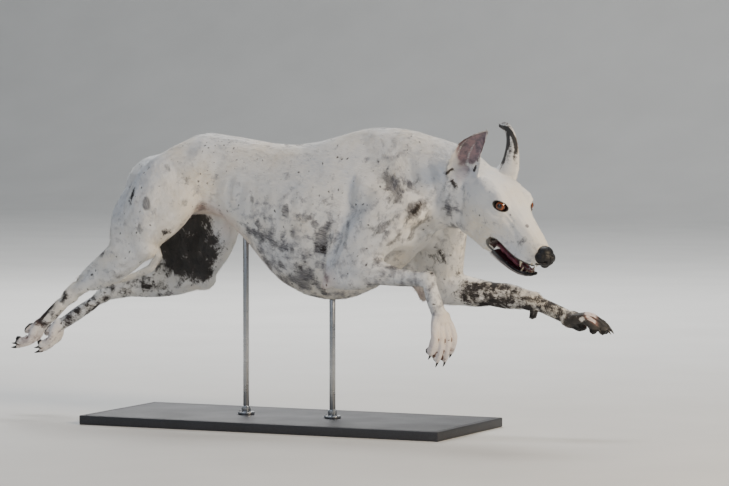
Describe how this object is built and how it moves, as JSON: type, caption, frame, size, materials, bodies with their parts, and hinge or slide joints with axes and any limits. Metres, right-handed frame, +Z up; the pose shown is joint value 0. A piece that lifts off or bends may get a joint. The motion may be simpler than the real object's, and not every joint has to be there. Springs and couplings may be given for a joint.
{
  "type": "greyhound museum model on a stand",
  "caption": "Life-size greyhound in full gallop, all paws off the ground, held over a flat display stand by short rods.",
  "frame": {"origin": "centre of the underside of the stand's base plate", "axes": "+X the way the dog runs, +Y its left side, +Z up"},
  "size_m": [1.3546, 0.34, 0.6528],
  "materials": {
    "coat": "short flat-lying white coat ticked and mottled with grey-black",
    "nose_leather": "damp black pebbled nose leather",
    "tongue": "moist dark pink",
    "eye": "wet amber-brown iris with a black pupil",
    "stand_base": "satin charcoal powder coat",
    "stand_rod": "satin steel rod"
  },
  "bodies": {
    "root": {"torso": "coat", "neck": "coat", "head": "coat", "lower_jaw": "coat", "tail": "coat", "ear_right": "coat", "ear_left": "coat", "foreleg_right_upper": "coat", "foreleg_right_forearm": "coat", "forepaw_right": "coat", "foreleg_left_upper": "coat", "foreleg_left_forearm": "coat", "forepaw_left": "coat", "hindleg_right_thigh": "coat", "hindleg_right_shank": "coat", "hindpaw_right": "coat", "hindleg_left_thigh": "coat", "hindleg_left_shank": "coat", "hindpaw_left": "coat", "nose": "nose_leather", "tongue": "tongue", "eye_right": "eye", "eye_left": "eye", "stand_base": "stand_base", "stand_rod_front": "stand_rod", "stand_rod_rear": "stand_rod"}
  },
  "joints": []
}
